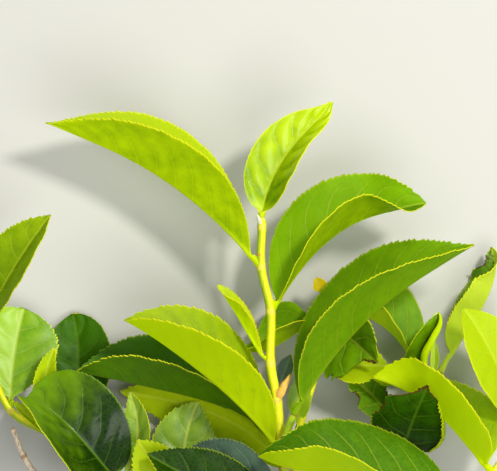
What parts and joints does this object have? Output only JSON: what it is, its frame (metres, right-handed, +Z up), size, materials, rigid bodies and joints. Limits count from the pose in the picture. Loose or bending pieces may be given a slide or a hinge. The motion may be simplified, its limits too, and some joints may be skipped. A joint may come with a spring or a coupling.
{
  "type": "tea branch",
  "caption": "Leafy branch cut from a tea bush, lying flat: folded leaves with toothed margins on slender green shoots that leave one short woody stub.",
  "frame": {"origin": "under the middle of the branch, on the surface that it lies on", "axes": "+Z up from the surface, +Y from the cut end of the woody stub towards the tip of the main shoot, +X to the right of it seen from above"},
  "size_m": [0.2012, 0.1944, 0.0641],
  "materials": {
    "young": "satin",
    "fresh": "satin",
    "mature": "satin",
    "grey": "satin",
    "pale": "satin",
    "green_stem": "satin",
    "woody_stem": "matte",
    "dead_wood": "matte",
    "bud": "matte"
  },
  "bodies": {
    "root": {"woody_branch": "woody_stem", "main_stem": "green_stem", "second_stem": "green_stem", "back_stem": "green_stem", "right_stem": "green_stem", "right_side_stem": "green_stem", "left_stem": "green_stem", "dead_twig": "dead_wood", "top_leaf": "young", "upper_left_leaf": "young", "upper_right_leaf": "fresh", "small_left_leaf": "young", "axillary_leaf": "grey", "lower_left_leaf": "young", "shaded_left_leaf": "mature", "grey_leaf": "grey", "bright_mid_leaf": "young", "dark_front_leaf": "mature", "large_right_leaf": "fresh", "oval_leaf": "fresh", "bright_back_leaf": "young", "back_leaf": "fresh", "chewed_leaf": "fresh", "yellow_tip_leaf": "young", "dark_chewed_leaf": "mature", "brown_leaf": "mature", "narrow_leaf": "fresh", "right_pair_leaf": "fresh", "pale_bud_leaf": "young", "tall_leaf": "pale", "front_leaf": "young", "arched_leaf": "young", "right_edge_leaf": "young", "pale_leaf": "pale", "yellow_front_leaf": "young", "big_dark_leaf": "mature", "left_young_leaf": "fresh", "curled_small_leaf": "young", "left_bright_leaf": "young", "left_round_leaf": "mature", "left_tall_leaf": "fresh", "left_edge_leaf": "fresh", "terminal_bud": "bud", "axillary_bud": "bud"}
  },
  "joints": []
}
